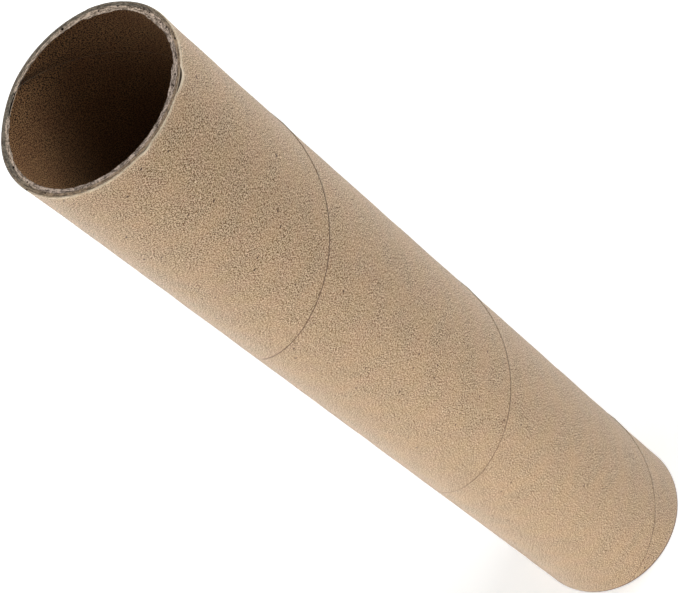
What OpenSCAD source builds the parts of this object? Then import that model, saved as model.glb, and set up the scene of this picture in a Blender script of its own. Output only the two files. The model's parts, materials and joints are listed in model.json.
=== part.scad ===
// Spiral-wound cardboard mailing tube, open at both ends, standing on its lower cut end.
// The origin is the centre of the lower end and +Z runs up the tube's axis.

/* [Tube] */
// Diameter of the bore, which rolled sheets and end plugs go into
bore_d = 50; // [30:0.5:150]
// Thickness of the wound and glued board wall
wall_t = 2.25; // [1.2:0.05:5]
// Length between the two cut ends
tube_len = 305; // [120:1:1000]
// Width of the worn bevel on the edges of the cut ends
edge_break = 0.2; // [0.1:0.05:0.3]

/* [Outer ply] */
// Angle of the winding, measured from a plane across the tube
wind_angle = 32; // [20:0.5:50]
// Thickness of the kraft strip wound round the outside
strip_t = 0.4; // [0.2:0.05:0.6]
// Gap left in the butt joint between one turn of the strip and the next
seam_gap = 0.35; // [0.2:0.05:0.6]
// Place round the lower end where the seam starts, in degrees from +X
seam_start = 241; // [0:1:360]

/* [Lifted ply] */
// Place round the upper end where the outer ply has come away, in degrees from +X
lift_angle = 311; // [0:1:360]
// Width of the loose stretch along the rim
lift_w = 10; // [6:0.5:14]
// How far the loose stretch reaches down from the rim
lift_h = 9; // [5:0.5:20]
// Widest gap between the loose ply and the board behind it
lift_gap = 0.7; // [0.4:0.05:0.9]

/* [Hidden] */
$fn = 96;
outer_d = bore_d + 2 * wall_t;
bore_r = bore_d / 2;
outer_r = outer_d / 2;
// Radius of the board under the outer ply
board_r = outer_r - strip_t;
// Height that the seam climbs in one turn
pitch = PI * outer_d * tan(wind_angle);
// Width of the seam's gap, measured round the tube
seam_w = seam_gap / sin(wind_angle);
// Turn between two sections of the seam, in degrees
seam_step = 6;
// Corners of the seam's section, which its twist leaves as they are
seam_corners = 4;
// How far cutters run past the faces that they cut
overrun = 1;
// Radius of the loose ply, bent more tightly than the tube so that its middle stands off by lift_gap
lift_r = 1 / (1 / outer_r + 8 * lift_gap / pow(lift_w, 2));
// Lean of the loose ply, which brings it back to the wall at the foot of the stretch
lift_tilt = atan(lift_gap / lift_h);
// Length of the leaning roll below the rim, enough for it to sink into the wall
lift_reach = lift_h + lift_w;
kraft = "#b8986f";

// Half section of the wall, with both cut ends bevelled
module wall_section() {
    polygon([
        [bore_r + edge_break, 0],
        [outer_r - edge_break, 0],
        [outer_r, edge_break],
        [outer_r, tube_len - edge_break],
        [outer_r - edge_break, tube_len],
        [bore_r + edge_break, tube_len],
        [bore_r, tube_len - edge_break],
        [bore_r, edge_break]
    ]);
}

// The butt joint of the outer ply: a groove one ply deep that climbs the tube from end to end
module seam_groove() {
    cut_len = tube_len + 2 * overrun;
    turn = 360 * cut_len / pitch;
    translate([0, 0, -overrun])
        rotate(seam_start - 360 * overrun / pitch)
            linear_extrude(height = cut_len, twist = -turn, slices = ceil(turn / seam_step), $fn = seam_corners)
                translate([board_r, -seam_w / 2])
                    square([strip_t + overrun, seam_w]);
}

// A roll of radius r that leans out of the wall at the upper rim, kept to what lies outside the board
module leaning_roll(r) {
    difference() {
        intersection() {
            rotate(lift_angle)
                translate([outer_r + lift_gap - lift_r, 0, tube_len])
                    rotate([0, lift_tilt, 0])
                        translate([0, 0, -lift_reach])
                            cylinder(r = r, h = 2 * lift_reach);
            translate([0, 0, tube_len - lift_reach])
                cylinder(r = outer_d, h = lift_reach);
        }
        translate([0, 0, tube_len - lift_reach - overrun])
            cylinder(r = board_r, h = lift_reach + 2 * overrun);
    }
}

module tube() {
    color(kraft)
        difference() {
            union() {
                difference() {
                    rotate_extrude() wall_section();
                    seam_groove();
                }
                leaning_roll(lift_r);
            }
            leaning_roll(lift_r - strip_t);
        }
}

tube();
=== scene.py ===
import json
import math

import bpy
import numpy as np
from mathutils import Matrix, Vector, noise


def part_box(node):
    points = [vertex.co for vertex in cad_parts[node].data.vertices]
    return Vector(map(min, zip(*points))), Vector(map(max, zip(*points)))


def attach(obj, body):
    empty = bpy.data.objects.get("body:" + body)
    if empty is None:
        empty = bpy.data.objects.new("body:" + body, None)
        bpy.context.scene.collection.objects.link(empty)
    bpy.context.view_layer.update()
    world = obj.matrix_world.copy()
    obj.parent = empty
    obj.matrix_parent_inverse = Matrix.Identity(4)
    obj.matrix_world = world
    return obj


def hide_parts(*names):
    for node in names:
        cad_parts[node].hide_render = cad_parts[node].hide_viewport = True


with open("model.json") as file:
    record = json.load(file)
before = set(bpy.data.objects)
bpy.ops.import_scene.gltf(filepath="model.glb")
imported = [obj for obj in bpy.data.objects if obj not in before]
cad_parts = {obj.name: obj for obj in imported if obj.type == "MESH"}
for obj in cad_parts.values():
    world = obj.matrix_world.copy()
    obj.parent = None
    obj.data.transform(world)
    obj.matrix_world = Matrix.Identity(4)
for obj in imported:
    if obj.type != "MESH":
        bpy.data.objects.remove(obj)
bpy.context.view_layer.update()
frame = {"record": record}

# Inner ply
# A strip of brown kraft paper, the first to be wound on the mandrel, with its edges butted along a helix.
# It lines the bore, and its cut ends lie just below the torn burr of the board around it.

MM = 0.001
low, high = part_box("tube")
tube_len = (high.z - low.z) / MM
outer_r = (high.x - low.x) / 2 / MM
bore_r = next(m["dims"]["r_mm"] for m in frame["record"]["mounts"] if m["name"] == "bore")
full_turn = 2 * math.pi

# Every ply climbs the mandrel at one lead, which the angle of the outer ply sets
wind_angle = math.radians(32)
pitch = full_turn * outer_r * math.tan(wind_angle)
# Thickness of glue between one ply and the next
glue_t = 0.02

liner_t = 0.35
# Divisions of the liner: how many round it, the places of those near a cut end, and the step of the rest
liner_columns = 330
liner_ends = [0.08, 0.3, 0.6, 1.0, 1.6, 2.6, 4.0, 6.0]
liner_row = 2.4
# The joint of the inner ply meets the rim here. It is closed, but has sprung open in a V at the mouth
liner_seam_top = math.radians(111)
liner_seam_gap = 0.05
liner_seam_open = 0.15
liner_seam_reach = 3.0
# The edges of the open joint curl into the bore by this much, over this angle
liner_curl = 0.1
liner_curl_width = math.radians(5)
# The cut ends lie this far below the board's, come up level where the ply has sprung, and are ragged by this
# much. The paper is whole again this far in
liner_low = 0.28
liner_high = 0.05
liner_ragged = 0.05
liner_ragged_reach = 0.5

# Both ends have gone slightly oval, and the upper one has swollen, by this much at the rim. They are true
# again this far in. The bore keeps this share of it
oval_size = 0.2
oval_axis = math.radians(5)
swell = 0.15
oval_reach = 20
bore_share = 0.25
# The upper rim swells further over these degrees, up to a step where the end of a board ply lies. Past the
# step this share of it is left, and dies away over these degrees
step_from = math.radians(26)
step_to = math.radians(51)
step_size = 0.3
step_reach = 8
step_left = 0.5
step_fade = math.radians(38)
# One knock has flattened the upper rim
knock_at = math.radians(131.5)
knock_width = math.radians(20)
knock_size = 0.5
knock_reach = 14
# It has also sprung the inner ply off the board
sprung_at = math.radians(124)
sprung_width = math.radians(8)
sprung_gap = 0.42
sprung_reach = 5


def from_place(angle, place):
    """The angle between two places round the tube, from minus half a turn to half a turn."""
    return np.angle(np.exp(1j * (angle - place)))


def out_of_round(angle, height, radius):
    """How far the wall stands outside a true circle, at a radius in it."""
    from_top = tube_len - height
    from_end = np.minimum(height, from_top)
    oval = oval_size * np.cos(2 * (angle - oval_axis)) * np.exp(-from_end / oval_reach)
    swollen = swell * np.exp(-from_top / oval_reach)
    climb = np.clip(from_place(angle, step_from) / (step_to - step_from), 0, 1)
    past = from_place(angle, step_to)
    stepped = np.where(past < 0, climb, step_left * np.exp(-np.maximum(past, 0) / step_fade))
    step = step_size * stepped * np.exp(-from_top / step_reach)
    dent = np.exp(-((from_place(angle, knock_at) / knock_width) ** 2))
    knock = knock_size * dent * np.exp(-from_top / knock_reach)
    through_wall = (radius - bore_r) / (outer_r - bore_r)
    return (oval + swollen + step - knock) * (bore_share + (1 - bore_share) * through_wall)


def sprung_share(angle):
    """1 where the knock has parted the inner ply from the board, 0 elsewhere."""
    return np.exp(-((from_place(angle, sprung_at) / sprung_width) ** 4))


def wander(place, seed, slowest, fastest):
    """An uneven line from about -1 to 1, as a seeded sum of waves with these numbers in a turn."""
    rng = np.random.default_rng(seed)
    total = np.zeros_like(place)
    for waves in range(slowest, fastest + 1):
        total = total + rng.normal() * np.cos(waves * place + rng.uniform(0, full_turn))
    return total / math.sqrt(fastest - slowest + 1)


def liner_move(angle, height, depth):
    """The stretch that has sprung inwards, the curled edges of the open joint and the low, ragged cut."""
    from_top = tube_len - height
    from_end = np.minimum(height, from_top)
    sprung = sprung_share(angle) * np.exp(-from_top / sprung_reach)
    joint = from_place(angle, liner_seam_top - full_turn * from_top / pitch)
    curled = liner_curl * np.exp(-((joint / liner_curl_width) ** 2) - from_top / liner_seam_reach)
    lowered = liner_low + (liner_high - liner_low) * sprung_share(angle) * (height > tube_len / 2)
    ragged = lowered + liner_ragged * wander(angle, seed=22, slowest=40, fastest=160)
    inwards = sprung_gap * sprung + curled
    return -inwards, np.sign(tube_len / 2 - height) * ragged * np.exp(-from_end / liner_ragged_reach)


def liner_gap(height):
    """The width of the joint, open at the mouth."""
    return liner_seam_gap + liner_seam_open * np.exp(-(tube_len - height) / liner_seam_reach)


def ring_faces(rows, columns, join_columns):
    """Quads over a grid of points whose last row joins its first, and its columns too if asked."""
    row, column = np.meshgrid(np.arange(rows), np.arange(columns - (not join_columns)), indexing="ij")
    this_row = row * columns
    next_row = (row + 1) % rows * columns
    beside = (column + 1) % columns
    corners = [this_row + column, this_row + beside, next_row + beside, next_row + column]
    return np.stack(corners, axis=-1).reshape(-1, 4)


# Edges that turn by more than this look sharp
sharp_turn = math.radians(50)


def make_piece(name, points, faces, slots, materials):
    """A mesh object from points in millimetres, its faces and the material slot of each face."""
    mesh = bpy.data.meshes.new(name)
    mesh.from_pydata((points * MM).tolist(), [], faces)
    for material in materials:
        mesh.materials.append(material)
    mesh.polygons.foreach_set("material_index", np.array(slots, dtype=np.int32))
    mesh.shade_smooth()
    mesh.set_sharp_from_angle(angle=sharp_turn)
    piece = bpy.data.objects.new(name, mesh)
    bpy.context.scene.collection.objects.link(piece)
    return piece


def paint(piece, name, share):
    """Keeps a share from 0 to 1 at each point of a piece, for its material to read."""
    layer = piece.data.attributes.new(name, "FLOAT", "POINT")
    layer.data.foreach_set("value", share.astype(np.float32).ravel())


def end_rows(near_end, step):
    """Heights of a ply's rows: those given, measured in from each cut end, and even ones between."""
    near_end = np.array(near_end)
    middle = tube_len - 2 * near_end[-1]
    even = near_end[-1] + middle * np.linspace(0, 1, round(middle / step) + 1)
    return np.concatenate([near_end[:-1], even, (tube_len - near_end[:-1])[::-1]])


# The cut end of a ply has points where the paper can split, at this share of its depth, and on the two sides
# of the split, whose walls lie between these shares either way
split_depth = 0.6
split_half = 0.05
split_side = 0.06


def wound_ply(name, inner, outer, seam_bottom, seam_gap, columns, rows, move, materials):
    """A closed strip of paper wound so that its two edges butt along a helix. inner and outer are the radii
    of its faces, seam_gap gives the width of the joint at a height, columns are the strip's divisions as
    shares of a turn and rows the heights of its divisions. move gives how far a point goes outwards and up,
    from its angle, height and depth in the paper, which is 0 outside and 1 inside. Gives the piece and those
    three."""
    thick = outer - inner
    bevel = rows[0] / thick
    split = [split_depth + off for off in (-split_side, -split_half, 0, split_half, split_side)]
    cut_depth = np.array([bevel] + split + [1 - bevel])
    count, cuts = len(rows), len(cut_depth)
    depth = np.concatenate([np.zeros(count), cut_depth, np.ones(count), cut_depth[::-1]])[:, None]
    height = np.concatenate([rows, np.full(cuts, tube_len), rows[::-1], np.zeros(cuts)])[:, None]
    half_gap = seam_gap(height) / 2 / math.sin(wind_angle) / outer
    turn = half_gap + (full_turn - 2 * half_gap) * columns[None, :]
    angle = seam_bottom + full_turn * height / pitch + turn
    height = height + 0 * angle
    depth = depth + 0 * angle
    outwards, upwards = move(angle, height, depth)
    radius = outer - thick * depth
    radius = radius + out_of_round(angle, height, radius) + outwards
    points = np.stack([radius * np.cos(angle), radius * np.sin(angle), height + upwards], axis=-1)

    # The skin and the two walls of the joint, with the walls and the cut ends in the second material slot
    loop, across = angle.shape
    skin = ring_faces(loop, across, False).tolist()
    skin_slots = np.zeros((loop, across - 1), dtype=int)
    skin_slots[count - 1:count + cuts - 1] = 1
    skin_slots[loop - cuts:] = 1
    top = list(range(count - 1, count + cuts + 1))
    bottom = list(range(loop - cuts - 1, loop)) + [0]
    walls = []
    for edge, turned in ((0, 1), (across - 1, -1)):
        ladder = [[k, k + 1, loop - cuts - 2 - k, loop - cuts - 1 - k] for k in range(count - 1)]
        for corners in ladder + [top, bottom]:
            walls.append([k * across + edge for k in corners][::turned])
    slots = skin_slots.ravel().tolist() + [1] * len(walls)
    piece = make_piece(name, points.reshape(-1, 3), skin + walls, slots, materials)

    # The paper's own flat measure in millimetres, along the strip and across it, which its grain follows
    along_strip = height / math.sin(wind_angle) + outer * turn * math.cos(wind_angle) + thick * depth
    across_strip = outer * turn * math.sin(wind_angle)
    flat = np.stack([along_strip, across_strip], axis=-1).reshape(-1, 2)
    corner_points = np.empty(len(piece.data.loops), dtype=np.int32)
    piece.data.loops.foreach_get("vertex_index", corner_points)
    strip_map = piece.data.uv_layers.new(name="strip_mm")
    strip_map.uv.foreach_set("vector", flat[corner_points].astype(np.float32).ravel())
    return piece, angle, height, depth


def linear(hex_colour):
    """An sRGB hex colour as the linear colour with alpha that shader sockets take."""
    parts = [int(hex_colour[k:k + 2], 16) / 255 for k in (1, 3, 5)]
    return [p / 12.92 if p <= 0.04045 else ((p + 0.055) / 1.055) ** 2.4 for p in parts] + [1.0]


def add_node(tree, kind, inputs, **settings):
    """Adds a shader node with its settings. inputs gives a value, or an output to link from, for each socket.
    Gives the node's outputs."""
    made = tree.nodes.new("ShaderNode" + kind)
    for name, value in settings.items():
        setattr(made, name, value)
    for socket, value in inputs.items():
        if isinstance(value, bpy.types.NodeSocket):
            tree.links.new(value, made.inputs[socket])
        else:
            made.inputs[socket].default_value = value
    return made.outputs


def new_material(name):
    """An empty material with its shader, whose sockets are then set."""
    material = bpy.data.materials.new(name)
    material.use_nodes = True
    return material, material.node_tree, material.node_tree.nodes["Principled BSDF"]


# Specks of fibre in paper lie this far apart along the strip and across it. Real ones are finer: these are
# drawn so that they show. They are scattered by this share, and the dark ones are shifted off the pale ones
speck_along = 0.5
speck_across = 0.4
speck_scatter = 0.9
speck_shift = 40.3
# Half the run between a full dark and a full pale speck, as a share of their spacing: how soft they are
speck_softness = 0.25


def speckle(tree, strip):
    """Pale and dark specks of fibre strewn over the strip, as a share that is 1 on the pale ones."""
    spacing = (1 / speck_along, 1 / speck_across, 1)
    off = []
    for shift in (0, speck_shift):
        mapping = {"Vector": strip, "Scale": spacing, "Location": (shift, shift, 0)}
        place = add_node(tree, "Mapping", mapping)["Vector"]
        dots = {"Vector": place, "Scale": 1.0, "Randomness": speck_scatter}
        off.append(add_node(tree, "TexVoronoi", dots, voronoi_dimensions="2D")["Distance"])
    specks = add_node(tree, "Math", {0: off[1], 1: off[0]}, operation="SUBTRACT")[0]
    run = {"Value": specks, "From Min": -speck_softness, "From Max": speck_softness}
    return add_node(tree, "MapRange", run)["Result"]


# Brown kraft paper, unbleached and uncoated: dull and dark, with a rough speckle of matted fibres, and
# cloudy.
# It is painted flatter and darker deep in the bore, and near-black beside the open joint at the mouth, both
# as painted shade
liner_paper, tree, shader = new_material("brown kraft paper, uncoated")
# The near-black of the painted shade beside the open joint
joint_shade_brown = "#1a120b"
# The clouds of pulp are this far across
liner_cloud_w = 9
strip = add_node(tree, "UVMap", {}, uv_map="strip_mm")["UV"]
matted = {"Factor": speckle(tree, strip), "A": linear("#0e0703"), "B": linear("#c09366")}
tone = add_node(tree, "Mix", matted, data_type="RGBA")["Result"]
bore_shade_share = add_node(tree, "Attribute", {}, attribute_name="smooth")["Fac"]
clouds = add_node(tree, "TexNoise", {"Vector": strip, "Scale": 1 / liner_cloud_w, "Detail": 2.0})[0]
cloud_run = {"Value": clouds, "From Min": 0.35, "From Max": 0.7, "To Max": 0.3}
cloud_share = add_node(tree, "MapRange", cloud_run)["Result"]
joint_shade_share = add_node(tree, "Attribute", {}, attribute_name="smear")["Fac"]
# Over the speckle lie the painted shade deep in the bore, the pulp clouds and the painted shade beside the
# open joint
for share, colour in ((bore_shade_share, "#674f34"), (cloud_share, "#704630"), (joint_shade_share, joint_shade_brown)):
    layer = {"Factor": share, "A": tone, "B": linear(colour)}
    tone = add_node(tree, "Mix", layer, data_type="RGBA")["Result"]
tree.links.new(tone, shader.inputs["Base Color"])
shader.inputs["Roughness"].default_value = 0.9
shader.inputs["Specular IOR Level"].default_value = 0.25

# Kraft paper, torn: the pale inside of the sheet, with loose fibres drawn at the size given
torn_paper, tree, shader = new_material("brown kraft paper, torn")
torn_fibre_w = 0.3
place = add_node(tree, "TexCoord", {})["Object"]
fibres = add_node(tree, "TexNoise", {"Vector": place, "Scale": 1 / (torn_fibre_w * MM), "Detail": 1.0})[0]
fibre_tones = {"Factor": fibres, "A": linear("#a8927b"), "B": linear("#f3e0ca")}
tone = add_node(tree, "Mix", fibre_tones, data_type="RGBA")["Result"]
# The painted shade beside the open joint reaches the torn ends too
joint_shade_share = add_node(tree, "Attribute", {}, attribute_name="smear")["Fac"]
joint_shaded = {"Factor": joint_shade_share, "A": tone, "B": linear(joint_shade_brown)}
tone = add_node(tree, "Mix", joint_shaded, data_type="RGBA")["Result"]
tree.links.new(tone, shader.inputs["Base Color"])
shader.inputs["Roughness"].default_value = 0.95
shader.inputs["Specular IOR Level"].default_value = 0.2

inner_ply, angle, height, depth = wound_ply(
    "inner_ply", bore_r, bore_r + liner_t, liner_seam_top - full_turn * tube_len / pitch, liner_gap,
    np.linspace(0, 1, liner_columns), end_rows(liner_ends, liner_row), liner_move, [liner_paper, torn_paper],
)
from_top = tube_len - height
# Painted shade lies beside the open joint at the mouth: how dark, how far beside the joint, how wide and how
# far down
joint_shade_dark = 0.9
joint_shade_beside = math.radians(2.5)
joint_shade_w = 1.8
joint_shade_reach = 6
joint_shade_off = from_place(angle, liner_seam_top - joint_shade_beside - full_turn * from_top / pitch)
smear = joint_shade_dark * np.exp(-((joint_shade_off * bore_r / joint_shade_w) ** 2) - from_top / joint_shade_reach)
paint(inner_ply, "smear", smear)
# Painted shade: deep in the bore the speckle gives way to a flatter, darker brown, over this reach in from
# the two ends and up to this share
bore_shade_reach = 40
bore_shade_most = 0.85
paint(inner_ply, "smooth", bore_shade_most * (1 - np.exp(-np.minimum(height, from_top) / bore_shade_reach)))
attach(inner_ply, "root")
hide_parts("tube")

# Board plies
# Four strips of grey recycled chipboard wound one over another and glued: the body of the wall.
# They show at the cut ends. The knife went in from outside, so the outer two are smooth and dark there, and
# the inner two are torn, paler and hang over the bore in a ragged burr.

strip_t = 0.4
board_in = bore_r + liner_t + glue_t
board_out = outer_r - strip_t - glue_t
board_plies = 4
ply_t = (board_out - board_in) / board_plies
# Divisions of the board: round it, across its cut ends and up its walls
board_columns = 1080
rim_steps = 30
wall_rows = 4
# Thickness of the burr at its edge and at its root, and the share of the wall past which it bends over
burr_edge_t = 0.1
burr_root_t = 0.18
burr_from = 0.6
# Distance of the burr's edge from the bore where it hangs least, and how uneven and how fringed it is
burr_clear = 0.1
burr_uneven = 0.05
burr_fringe = 0.06
# Stretches that hang over further: from and to in degrees, and by how much. They end within these degrees
burrs = [
    (33, 53, 0.4), (49, 51.5, 0.3), (57, 74, 0.35), (132, 140, 0.8), (140, 162, 0.4),
    (222, 247, 0.2), (247, 300, 0.35), (300, 320, 0.5), (349, 366, 0.3),
]
burr_taper = 0.5
# The same cut at the lower end lies at another place round the tube
lower_turn = 2.0

# The points of one lengthwise section: across the upper end, down the inside, across the lower end and up the
# outside, each with its depth in the wall, its height and how far it follows the burr
share = np.linspace(0, 1, rim_steps)
end_share = np.concatenate([share, [1, 1]])
end_drop = np.concatenate([np.zeros(rim_steps), [burr_edge_t, burr_root_t]])
end_hang = np.concatenate([np.clip((share - burr_from) / (1 - burr_from), 0, 1) ** 2, [1, 0]])
rim = np.ones(len(end_share))
wall_z = tube_len * np.arange(1, wall_rows + 1) / (wall_rows + 1)
wall = np.ones(wall_rows)
depth = np.concatenate([end_share, wall, end_share[::-1], 0 * wall])[:, None]
level = np.concatenate([tube_len - end_drop, wall_z[::-1], end_drop[::-1], wall_z])[:, None]
hang = np.concatenate([end_hang, 0 * wall, end_hang[::-1], 0 * wall])[:, None]
on_rim = np.concatenate([rim, 0 * wall, rim, 0 * wall])[:, None]
upper = level > tube_len / 2
angle = np.linspace(0, full_turn, board_columns, endpoint=False)[None, :]
cut_angle = angle + np.where(upper, 0, lower_turn)
sprung = sprung_share(angle) * upper

over = board_in + out_of_round(cut_angle, level, board_in) - bore_r - burr_clear
over = over + burr_uneven * wander(cut_angle, seed=31, slowest=30, fastest=120)
over = over + burr_fringe * wander(cut_angle, seed=34, slowest=120, fastest=420)
for start, end, reach in burrs:
    off = np.abs(np.degrees(from_place(cut_angle, math.radians((start + end) / 2)))) - (end - start) / 2
    over = over + reach / (1 + np.exp(off / burr_taper))
board_r = board_out - (board_out - board_in) * depth - hang * over * (1 - sprung)

# The tear takes in about this many plies, and reaches further out on one side by this much
torn_plies = 1.95
torn_lean = 0.12
torn_lean_at = math.radians(-10)
# The cut went deeper at these places: degrees round the tube, reach in degrees and by how much
deep_cuts = [(270, 35, 0.2), (165, 20, 0.35)]
# The line between tear and cut sways and is ragged by this much, and blends over this width. Where the liner
# has sprung, the cut goes in further by this much
torn_sway = 0.06
torn_ragged = 0.04
torn_blend = 0.03
sprung_cut = 0.85
torn_from = board_in + torn_plies * ply_t + torn_lean * np.cos(cut_angle - torn_lean_at)
for place, reach, deeper in deep_cuts:
    off = from_place(cut_angle, math.radians(place)) / math.radians(reach)
    torn_from = torn_from - deeper * np.exp(-(off ** 2))
torn_from = torn_from + torn_sway * wander(cut_angle, seed=32, slowest=3, fastest=12)
torn_from = torn_from + torn_ragged * wander(cut_angle, seed=33, slowest=60, fastest=300)
torn = on_rim / (1 + np.exp((board_r - torn_from + sprung_cut * sprung) / torn_blend))


def lumps(points, size):
    """Smooth noise from about -1 to 1 at each point, in lumps this many millimetres across."""
    values = [noise.noise(Vector(point) / size) for point in points.reshape(-1, 3).tolist()]
    return np.array(values).reshape(points.shape[:-1])


# How far the cut face has sunk, and its roughness in lumps of two sizes. The torn face is rougher
coarse_w = 0.6
fine_w = 0.25
cut_sink = 0.015
cut_rough = 0.02
torn_sink = 0.05
torn_rough = 0.07
flat_points = np.stack([board_r * np.cos(angle), board_r * np.sin(angle), level + 0 * board_r], axis=-1)
coarse = lumps(flat_points, coarse_w)
fine = lumps(flat_points, fine_w)
sunk = cut_sink + cut_rough * np.abs(coarse) + torn * (torn_sink + torn_rough * (coarse + fine))

# Lines of glue between the plies: half width, depth, how much they sway, and how far they have opened on the
# whole and more than that in places
line_half = 0.05
line_deep = 0.12
line_sway = 0.03
line_open = 0.4
line_open_more = 0.6
line = np.zeros_like(sunk)
for k in range(1, board_plies):
    line_r = board_in + k * ply_t + line_sway * wander(cut_angle, seed=40 + k, slowest=3, fastest=30)
    opened = line_open + line_open_more * wander(cut_angle, seed=50 + k, slowest=10, fastest=150)
    line = np.maximum(line, np.clip(opened, 0, 1) * np.exp(-((board_r - line_r) / line_half) ** 2))
sunk = sunk + line_deep * line

# Small hollows where a ply has come away at the upper end: degrees round the tube, distance from the bore
# and half width
voids = [
    (6, 0.95, 0.2), (11, 1, 0.18), (13.3, 1, 0.18), (15.6, 1, 0.18), (30.6, 1, 0.2), (43.8, 0.6, 0.22),
    (68.8, 0.85, 0.32), (116, 0.5, 0.2), (167.5, 0.7, 0.24), (184, 0.6, 0.16), (200.6, 1.3, 0.18),
    (236, 0.7, 0.15), (262, 1, 0.16), (281, 0.9, 0.15), (300.6, 0.4, 0.2), (306.5, 0.5, 0.24),
    (313.8, 0.6, 0.2), (324, 0.9, 0.16), (336.9, 1.6, 0.2), (348, 1, 0.2), (354, 0.6, 0.16),
]
# Those of the lower end are scattered: how many, and the bounds of their distance and half width
lower_voids = 30
void_places = (0.5, 1.6)
void_halves = (0.12, 0.28)
rng = np.random.default_rng(7)
scattered = [
    (rng.uniform(0, 360), rng.uniform(*void_places), rng.uniform(*void_halves)) for k in range(lower_voids)
]
# They fade over these shares of the half width, across the wall and round the tube, and go this deep
void_across = 1.3
void_along = 1.6
void_deep = 0.8
hollow = np.zeros_like(sunk)
for at_end, end_voids in ((upper, voids), (~upper, scattered)):
    for place, from_bore, half_w in end_voids:
        void_r = bore_r + from_bore
        across = (board_r - void_r) / (void_across * half_w)
        along = from_place(angle, math.radians(place)) * void_r / (void_along * half_w)
        hollow = np.maximum(hollow, at_end * np.exp(-across ** 2 - along ** 2))
sunk = sunk + void_deep * hollow ** 2

board_z = level + np.sign(tube_len / 2 - level) * on_rim * sunk
radius = board_r + out_of_round(angle, level, board_r)
board_points = np.stack([radius * np.cos(angle), radius * np.sin(angle), board_z], axis=-1)

# Recycled chipboard, knife-cut and torn: dull grey fibre ends in streaks round the tube, the torn fibre
# paler and rougher. The near side of the rim is painted browner. The glue lines are nearly black, and so, as
# painted shade, are the hollows and the faces seen only through gaps
board_paper, tree, shader = new_material("recycled chipboard, knife-cut and torn")
# Fibre ends are about 0.15 mm across, drawn at this size so that they show. The layers that they lie in
# show as streaks this long and wide, with this share in the pattern
board_fibre_w = 0.4
streak_len = 1.6
streak_w = 0.3
streak_share = 0.65
# Patches in the near-black of the glue lines and of the painted shade
dark_patch_w = 0.9
# The fibre ends stand up by this much
board_fibre_h = 0.08
place = add_node(tree, "TexCoord", {})["Object"]
fibres = add_node(tree, "TexNoise", {"Vector": place, "Scale": 1 / (board_fibre_w * MM), "Detail": 1.0})[0]
round_rim = add_node(tree, "Attribute", {}, attribute_name="rim_mm")["Vector"]
streak_scale = (1 / streak_len, 1 / streak_w, 1 / streak_w)
streak_place = add_node(tree, "Mapping", {"Vector": round_rim, "Scale": streak_scale})["Vector"]
streaks = add_node(tree, "TexNoise", {"Vector": streak_place, "Scale": 1.0, "Detail": 1.0})[0]
layered = add_node(tree, "Mix", {"Factor": streak_share, "A": fibres, "B": streaks})["Result"]
fibre_share = add_node(tree, "MapRange", {"Value": layered, "From Min": 0.4, "From Max": 0.6})["Result"]
fibre_tones = {
    "cut": ("#5a534a", "#a09585"),
    "cut and scuffed": ("#766655", "#c6ac90"),
    "torn": ("#766657", "#f6dfc9"),
    "torn and scuffed": ("#685b51", "#ead4c3"),
}
tones = {}
for face, (dark, pale) in fibre_tones.items():
    ends = {"Factor": fibre_share, "A": linear(dark), "B": linear(pale)}
    tones[face] = add_node(tree, "Mix", ends, data_type="RGBA")["Result"]
# The rim's near side, toward the camera, is painted browner on the cut and duller on the torn
near_side_amount = add_node(tree, "Attribute", {}, attribute_name="scuffed")["Fac"]
for face in ("cut", "torn"):
    scuffed = {"Factor": near_side_amount, "A": tones[face], "B": tones[face + " and scuffed"]}
    tones[face] = add_node(tree, "Mix", scuffed, data_type="RGBA")["Result"]
patch_scale = 1 / (dark_patch_w * MM)
dark_patches = add_node(tree, "TexNoise", {"Vector": place, "Scale": patch_scale, "Detail": 1.0})[0]
dark_patch_share = add_node(tree, "MapRange", {"Value": dark_patches, "From Min": 0.35, "From Max": 0.65})["Result"]
glue_and_shade_tones = {"Factor": dark_patch_share, "A": linear("#0d0805"), "B": linear("#20160e")}
tones["deep"] = add_node(tree, "Mix", glue_and_shade_tones, data_type="RGBA")["Result"]
tone = tones["cut"]
for face in ("torn", "deep"):
    face_share = add_node(tree, "Attribute", {}, attribute_name=face)["Fac"]
    layer = {"Factor": face_share, "A": tone, "B": tones[face]}
    tone = add_node(tree, "Mix", layer, data_type="RGBA")["Result"]
tree.links.new(tone, shader.inputs["Base Color"])
shader.inputs["Roughness"].default_value = 0.92
shader.inputs["Specular IOR Level"].default_value = 0.25
raised = add_node(tree, "Bump", {"Height": fibres, "Strength": 0.6, "Distance": board_fibre_h * MM})["Normal"]
tree.links.new(raised, shader.inputs["Normal"])

# The near side of the rims, toward the camera, begins here, as a share of the radius from the axis, and is
# full this far on. The board is painted browner there, and the kraft's cut edge takes a painted highlight
near_side_from = 0.25
near_side_blend = 0.7


def near_side_share(angle):
    """1 on the near side of the rims, toward the camera, 0 on the other."""
    return np.clip((near_side_from - np.sin(angle)) / near_side_blend, 0, 1)


board_faces = ring_faces(*board_z.shape, True).tolist()
board_slots = [0] * len(board_faces)
board = make_piece("board_plies", board_points.reshape(-1, 3), board_faces, board_slots, [board_paper])
paint(board, "torn", torn)
paint(board, "scuffed", near_side_share(angle) + 0 * torn)
# A glue line darkens by this share, and a hollow is painted dark as painted shade this steeply, less this
# much, which keeps faint ones pale
line_dark = 0.35
hollow_shade = 3
hollow_shade_from = 0.9
# Faces seen only through gaps, the walls and the burr's root, are painted near-black all over as painted
# shade
hidden = (on_rim == 0) | (np.abs(level - tube_len / 2) < tube_len / 2 - burr_edge_t)
darkened = np.clip(line_dark * line + hollow_shade * hollow - hollow_shade_from, 0, 1)
paint(board, "deep", np.where(hidden, 1, darkened))
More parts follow.
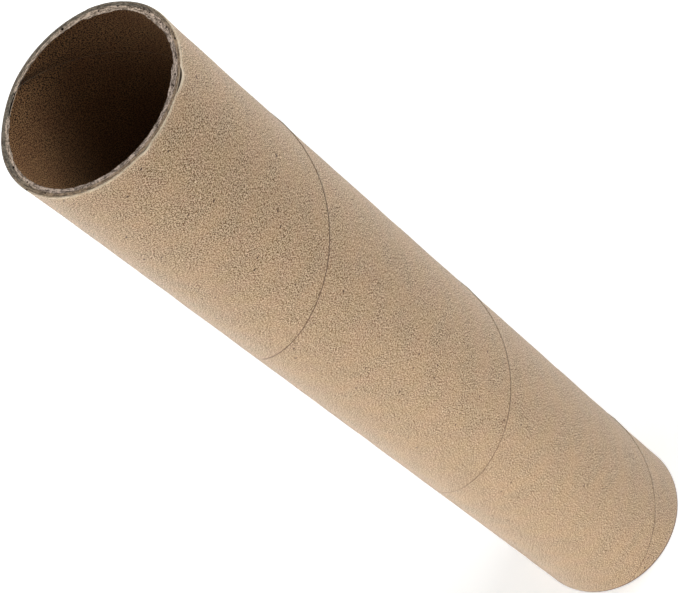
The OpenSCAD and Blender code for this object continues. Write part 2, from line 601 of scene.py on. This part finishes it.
# Each point's place in millimetres round the rim, out from the axis and up, which the streaks follow
rim_mm = np.stack([angle * board_out + 0 * board_r, board_r, board_z], axis=-1)
rim_layer = board.data.attributes.new("rim_mm", "FLOAT_VECTOR", "POINT")
rim_layer.data.foreach_set("vector", rim_mm.astype(np.float32).ravel())
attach(board, "root")
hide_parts("tube")

# Outer ply
# A strip of natural kraft paper wound over the board last, its edges butted in one helical seam.
# At the upper rim it has split in two places, where its outer layer stands off the rest.

seam_bottom = math.radians(241)
seam_top = seam_bottom + full_turn * tube_len / pitch
# Width of the seam at the foot and at the upper rim, and how uneven it is
seam_foot_w = 0.03
seam_rim_w = 0.09
seam_uneven = 0.1
# On one side of the tube the strip's lower edge stands proud of the seam by this much. It is flat again
# this far off, and the painted shade on its wall is lighter by this share
proud_edge = 0.22
proud_side = math.radians(15)
proud_reach = 1.2
proud_less_shade = 0.5
# Glue has soaked the paper this far beside the seam, and left it this dark at the foot and at the upper rim
stain_w = 0.19
stain_foot = 0.5
stain_rim = 1.0
# The lower edge is painted dark up to here, as painted shade where it stands on the floor
foot_shade_h = 0.36
# The cut edge has small chips out of it, and is worn down by this much all round. It is whole again this
# far in
chip_size = 0.06
chip_worn = 0.03
chip_reach = 0.3
# Wound paper is faintly uneven
wave_size = 0.03
# Split stretches of the rim: place of the widest gap and reach before and after it in degrees, gap and
# depth in mm
lifts = [(310.5, 10, 7, 0.72, 9), (268, 5, 4, 0.28, 4)]
# The edge of the loose layer is frayed thicker by this much, down to here, over this share of the paper
lip_fray = 0.2
lip_reach = 0.6
lip_depth = 0.3
# The slit goes down this share of the loose depth, and its sides have sunk by this much. It closes
# where less than this share of the gap is left
slit_share = 0.5
slit_side_drop = 0.25
slit_close = 0.25
# Divisions of the strip: the places of those near a cut end, the step of the rest, and how many in a turn
outer_ends = [0.09, 0.35, 0.9, 1.5, 2.2, 3.0, 4.0, 5.2, 6.6, 8.2, 10.0]
outer_row = 2.05
plain_columns = 254
# They are closer between these degrees, where the paper is loose
fine_columns = 78
fine_places = (258, 320)

stain_share = stain_w / math.sin(wind_angle) / (full_turn * outer_r)
fine_from, fine_to = [(math.radians(place) - seam_top) % full_turn / full_turn for place in fine_places]
outer_columns = np.concatenate([
    [0],
    np.linspace(stain_share, fine_from, round(fine_from * plain_columns), endpoint=False),
    np.linspace(fine_from, fine_to, fine_columns, endpoint=False),
    np.linspace(fine_to, 1 - stain_share, round((1 - fine_to) * plain_columns)),
    [1],
])


def lift_share(angle, place, before, after):
    """1 at the widest gap of a loose stretch, falling to 0 at its two ends."""
    off = np.degrees(from_place(angle, math.radians(place)))
    return np.clip(1 - (off / np.where(off < 0, before, after)) ** 2, 0, 1)


def proud_share(angle):
    """1 on the side of the tube where the strip's edge stands proud, falling to 0 on the other."""
    return (1 + np.cos(angle - proud_side)) / 2


def in_slit(depth):
    """True in the slit of a split cut end, at its floor and the inner edges of its two sides."""
    return np.abs(depth - split_depth) < (split_half + split_side) / 2


def outer_move(angle, height, depth):
    """The loose stretches, the chipped edge of the cut and the faint unevenness of wound paper."""
    from_top = tube_len - height
    from_end = np.minimum(height, from_top)
    climbed = full_turn * height / pitch
    past_seam = (angle - seam_bottom - climbed) * outer_r * math.sin(wind_angle)
    out = wave_size * wander(angle + climbed, seed=61, slowest=2, fastest=7)
    out = out + proud_edge * proud_share(angle) * np.exp(-past_seam / proud_reach)
    split = np.zeros_like(angle)
    for place, before, after, gap, reach in lifts:
        share = lift_share(angle, place, before, after)
        out = out + (depth < split_depth) * gap * share * np.clip(1 - from_top / reach, 0, 1)
        out = out + (depth < lip_depth) * lip_fray * share * np.exp(-from_top / lip_reach)
        slit = np.where(depth == split_depth, slit_share * reach, slit_side_drop) * in_slit(depth)
        split = split + (from_top == 0) * slit * np.minimum(1, share / slit_close)
    chips = chip_size * wander(angle, seed=62, slowest=40, fastest=160)
    chipped = (np.maximum(0, chips) + chip_worn) * np.exp(-from_end / chip_reach)
    return out, np.sign(tube_len / 2 - height) * (chipped + split)


def outer_gap(height):
    """The width of the seam, which is never quite even."""
    even = seam_foot_w + (seam_rim_w - seam_foot_w) * height / tube_len
    return even * (1 + seam_uneven * wander(full_turn * height / tube_len, seed=11, slowest=3, fastest=50))


# Natural kraft paper, machine-finished: a dull tan sheet with a strong fine speckle of paler and darker
# fibres, stray flecks of bark and soft clouds where the pulp settled unevenly. It is paler at the rims,
# partly frayed and partly a painted highlight, stained beside the seam, and painted dark at the foot as
# painted shade
kraft, tree, shader = new_material("natural kraft paper, machine-finished")
strip = add_node(tree, "UVMap", {}, uv_map="strip_mm")["UV"]
matted = {"Factor": speckle(tree, strip), "A": linear("#5d3b06"), "B": linear("#d6bd9d")}
tone = add_node(tree, "Mix", matted, data_type="RGBA")["Result"]
# Clouds of pulp this far across, some pinker and, at other places, some yellower
pulp_cloud_w = 8
for shift, colour in (((0, 0, 0), "#c99d80"), ((70, 30, 0), "#c7a577")):
    cloud_place = add_node(tree, "Mapping", {"Vector": strip, "Location": shift})["Vector"]
    clouds = add_node(tree, "TexNoise", {"Vector": cloud_place, "Scale": 1 / pulp_cloud_w, "Detail": 3.0})[0]
    cloud_run = {"Value": clouds, "From Min": 0.4, "From Max": 0.65, "To Max": 0.2}
    cloud_share = add_node(tree, "MapRange", cloud_run)["Result"]
    clouded = {"Factor": cloud_share, "A": tone, "B": linear(colour)}
    tone = add_node(tree, "Mix", clouded, data_type="RGBA")["Result"]
# Flecks lie about this far apart along the strip and across it. A fifth of them are dark and an eighth
# pale. Their size is given as shares of the spacing: where a fleck ends and where it is full
fleck_along = 4.5
fleck_across = 2.5
fleck_scale = (1 / fleck_along, 1 / fleck_across, 1)
fleck_place = add_node(tree, "Mapping", {"Vector": strip, "Scale": fleck_scale})["Vector"]
flecks = add_node(tree, "TexVoronoi", {"Vector": fleck_place, "Scale": 1.0, "Randomness": 1.0})
fleck_kind = add_node(tree, "SeparateColor", {"Color": flecks["Color"]})[0]
for side, limit, end, full, colour in (
    ("GREATER_THAN", 0.8, 0.14, 0.08, "#45230a"),
    ("LESS_THAN", 0.12, 0.1, 0.05, "#f0dcbc"),
):
    edge = {"Value": flecks["Distance"], "From Min": end, "From Max": full}
    near = add_node(tree, "MapRange", edge)["Result"]
    chosen = add_node(tree, "Math", {0: fleck_kind, 1: limit}, operation=side)[0]
    fleck = add_node(tree, "Math", {0: near, 1: chosen}, operation="MULTIPLY")[0]
    layer = {"Factor": fleck, "A": tone, "B": linear(colour)}
    tone = add_node(tree, "Mix", layer, data_type="RGBA")["Result"]
# Over this lie the pale rims, partly fray and partly a painted highlight, then the glue stain by the seam and
# the painted shade at the foot
for mark, colour in (("rubbed", "#e6d2b6"), ("stained", "#522504")):
    mark_share = add_node(tree, "Attribute", {}, attribute_name=mark)["Fac"]
    marked_tone = {"Factor": mark_share, "A": tone, "B": linear(colour)}
    tone = add_node(tree, "Mix", marked_tone, data_type="RGBA")["Result"]
tree.links.new(tone, shader.inputs["Base Color"])
shader.inputs["Roughness"].default_value = 0.8
shader.inputs["Specular IOR Level"].default_value = 0.4
shader.inputs["Sheen Weight"].default_value = 0.33
shader.inputs["Sheen Roughness"].default_value = 0.4

# Kraft paper, cut across: the ends of its fibres, grey from the knife. On the near side and the loose
# stretches it is painted tan, with a cream painted highlight at the frayed edge, and it is painted dark as
# painted shade in the slits, on the walls of the seam and at the foot. The fibre ends are drawn at the size
# given, so that they show
cut_kraft, tree, shader = new_material("natural kraft paper, cut edge")
kraft_fibre_w = 0.35
place = add_node(tree, "TexCoord", {})["Object"]
fibres = add_node(tree, "TexNoise", {"Vector": place, "Scale": 1 / (kraft_fibre_w * MM), "Detail": 1.0})[0]
fibre_share = add_node(tree, "MapRange", {"Value": fibres, "From Min": 0.34, "From Max": 0.66})["Result"]
tones = []
for dark, pale in (("#5c5850", "#9d968a"), ("#d2ae86", "#fff2da")):
    ends = {"Factor": fibre_share, "A": linear(dark), "B": linear(pale)}
    tones.append(add_node(tree, "Mix", ends, data_type="RGBA")["Result"])
# On the near side and on the loose stretches the cut is painted tan, a painted highlight
near_side_amount = add_node(tree, "Attribute", {}, attribute_name="scuffed")["Fac"]
scuffed = {"Factor": near_side_amount, "A": tones[0], "B": tones[1]}
tone = add_node(tree, "Mix", scuffed, data_type="RGBA")["Result"]
fray_and_highlight_share = add_node(tree, "Attribute", {}, attribute_name="rubbed")["Fac"]
fray_and_highlight_share = add_node(tree, "Math", {0: fray_and_highlight_share, 1: near_side_amount}, operation="MULTIPLY")[0]
# A cream painted highlight at the frayed edge on the near side, then painted shade in the slits, the seam's
# walls and the foot
deep_share = add_node(tree, "Attribute", {}, attribute_name="deep")["Fac"]
for share, colour in ((fray_and_highlight_share, "#fbeacf"), (deep_share, "#3a210c")):
    layer = {"Factor": share, "A": tone, "B": linear(colour)}
    tone = add_node(tree, "Mix", layer, data_type="RGBA")["Result"]
tree.links.new(tone, shader.inputs["Base Color"])
shader.inputs["Roughness"].default_value = 0.9
shader.inputs["Specular IOR Level"].default_value = 0.25

outer_ply, angle, height, depth = wound_ply(
    "outer_ply", outer_r - strip_t, outer_r, seam_bottom, outer_gap,
    outer_columns, end_rows(outer_ends, outer_row), outer_move, [kraft, cut_kraft],
)
from_end = np.minimum(height, tube_len - height)
loose = np.maximum(*[np.sqrt(lift_share(angle, *lift[:3])) for lift in lifts]) * (height > tube_len / 2)
# The edges of the cut are paler this far in from the end and from the outside, more at some places than at
# others: partly frayed paper, partly a painted highlight. A faint rub goes further in, and the loose
# stretches are pale to here as a painted highlight
fray_h = 0.45
fray_depth = 0.4
fray_mean = 0.7
fray_more = 0.5
fray_least = 0.2
rub_h = 2
rub_share = 0.1
loose_highlight_h = 0.7
frayed = np.clip(fray_mean + fray_more * wander(angle, seed=63, slowest=8, fastest=60), fray_least, 1)
frayed = frayed * np.exp(-((from_end / fray_h) ** 2) - (depth / fray_depth) ** 2)
pale_edge = frayed + rub_share * np.exp(-((from_end / rub_h) ** 2))
loose_highlight = loose * np.exp(-((from_end / loose_highlight_h) ** 2))
paint(outer_ply, "rubbed", np.clip(np.maximum(pale_edge, loose_highlight), 0, 1))
# The near side and the loose stretches take the tan of the painted highlight on the cut
paint(outer_ply, "scuffed", np.maximum(near_side_share(angle), loose))
# The slits and the walls of the seam are painted dark as painted shade, less so on the proud side, and so is
# the foot. The seam's two edges are stained by glue
slit_shade = 0.9
foot_shade = height < foot_shade_h
deep = slit_shade * in_slit(depth) * np.minimum(1, loose / slit_close)
deep[:, 0] = 1 - proud_less_shade * proud_share(angle[:, 0])
deep[:, -1] = 1
paint(outer_ply, "deep", np.maximum(deep, foot_shade))
# The glue stain on the seam's two edges, and the painted shade at the foot
stained = np.zeros_like(deep)
for edge in (0, -1):
    stained[:, edge] = stain_foot + (stain_rim - stain_foot) * height[:, edge] / tube_len
paint(outer_ply, "stained", np.maximum(stained, foot_shade))
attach(outer_ply, "root")
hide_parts("tube")

# Floor and surroundings
# A wide white sheet on a table in a white room. It looks plain white and still takes the tube's soft shadow.

floor_half = 4.0
floor_mesh = bpy.data.meshes.new("floor")
corners = [(x * floor_half, y * floor_half, low.z) for x, y in ((-1, -1), (1, -1), (1, 1), (-1, 1))]
floor_mesh.from_pydata(corners, [], [(0, 1, 2, 3)])
floor = bpy.data.objects.new("floor", floor_mesh)
bpy.context.scene.collection.objects.link(floor)


def seen_directly(tree):
    """1 for rays that show the surroundings themselves, straight or in a shine, and 0 for their light."""
    rays = add_node(tree, "LightPath", {})
    shown = rays["Is Camera Ray"]
    for kind in ("Is Glossy Ray", "Is Transmission Ray"):
        shown = add_node(tree, "Math", {0: shown, 1: rays[kind]}, operation="MAXIMUM")[0]
    return shown


# White paper, matt: a lift that only the eye sees takes its open stretches to white. It is least up to this
# far from the tube, in metres, so that the shadow shows, and full from the next distance on
sheet, tree, shader = new_material("white paper, matt")
lift_near = 0.25
lift_far = 0.6
lift_least = 0.5
shader.inputs["Base Color"].default_value = linear("#f4f4f2")
shader.inputs["Roughness"].default_value = 0.95
shader.inputs["Specular IOR Level"].default_value = 0.1
shader.inputs["Emission Color"].default_value = linear("#ffffff")
place = add_node(tree, "TexCoord", {})["Object"]
far_off = add_node(tree, "VectorMath", {0: place}, operation="LENGTH")["Value"]
lift_run = {"Value": far_off, "From Min": lift_near, "From Max": lift_far, "To Min": lift_least}
lift = add_node(tree, "MapRange", lift_run)["Result"]
lift = add_node(tree, "Math", {0: seen_directly(tree), 1: lift}, operation="MULTIPLY")[0]
tree.links.new(lift, shader.inputs["Emission Strength"])
floor_mesh.materials.append(sheet)

world = bpy.data.worlds.new("white room")
world.use_nodes = True
bpy.context.scene.world = world
tree = world.node_tree
room_glow = 0.2
room_light = add_node(tree, "Background", {"Color": linear("#ffffff"), "Strength": room_glow})[0]
room_seen = add_node(tree, "Background", {"Color": linear("#ffffff"), "Strength": 1.0})[0]
room = add_node(tree, "MixShader", {0: seen_directly(tree), 1: room_light, 2: room_seen})[0]
tree.links.new(room, tree.nodes["World Output"].inputs["Surface"])

# Lamps
# Soft boxes round the tube. Most stand low, so that its outside is bright and its bore dark. Two high ones
# light the rim.


def soft_box(name, place, aim, width, height, watts):
    """An oblong lamp at a place in metres, turned to a point, that the camera doesn't see."""
    lamp = bpy.data.lights.new(name, "AREA")
    lamp.shape = "RECTANGLE"
    lamp.size = width
    lamp.size_y = height
    lamp.energy = watts
    box = bpy.data.objects.new(name, lamp)
    box.location = place
    box.rotation_euler = (Vector(aim) - Vector(place)).to_track_quat("-Z", "Y").to_euler()
    box.visible_camera = False
    bpy.context.scene.collection.objects.link(box)


middle = (0, 0, tube_len * MM / 2)
foot = (0, 0, 0.02)
soft_box("low left box, behind", (-0.48, 0.42, 0.07), middle, width=0.5, height=0.1, watts=2.2)
soft_box("low left box, in front", (-0.48, -0.42, 0.07), middle, width=0.5, height=0.1, watts=1.95)
soft_box("low right box", (0.58, 0.26, 0.07), middle, width=0.5, height=0.1, watts=1.08)
soft_box("low front box", (-0.05, -0.36, 0.02), foot, width=0.3, height=0.03, watts=0.46)
soft_box("high right box", (0.80, 0.00, 0.90), middle, width=0.6, height=0.6, watts=5.6)
soft_box("high left box", (-0.80, 0.00, 0.90), middle, width=0.6, height=0.6, watts=1.2)

# Camera
# A long lens above the tube and in front of it, rolled so that the tube runs from upper left to lower right.

camera_data = bpy.data.cameras.new("camera")
camera_data.sensor_width = 36
camera_data.lens = 128.2
camera_data.clip_start = 0.01
camera = bpy.data.objects.new("camera", camera_data)
camera_at = Vector((0, -448.31, 710.18)) * MM
camera_aim = Vector((1.106, 0, 182.64)) * MM
camera_roll = math.radians(-50.855)
unrolled = (camera_aim - camera_at).to_track_quat("-Z", "Y").to_matrix().to_4x4()
camera.matrix_world = Matrix.Translation(camera_at) @ unrolled @ Matrix.Rotation(camera_roll, 4, "Z")
bpy.context.scene.collection.objects.link(camera)
bpy.context.scene.camera = camera
bpy.context.scene.view_settings.view_transform = "Standard"
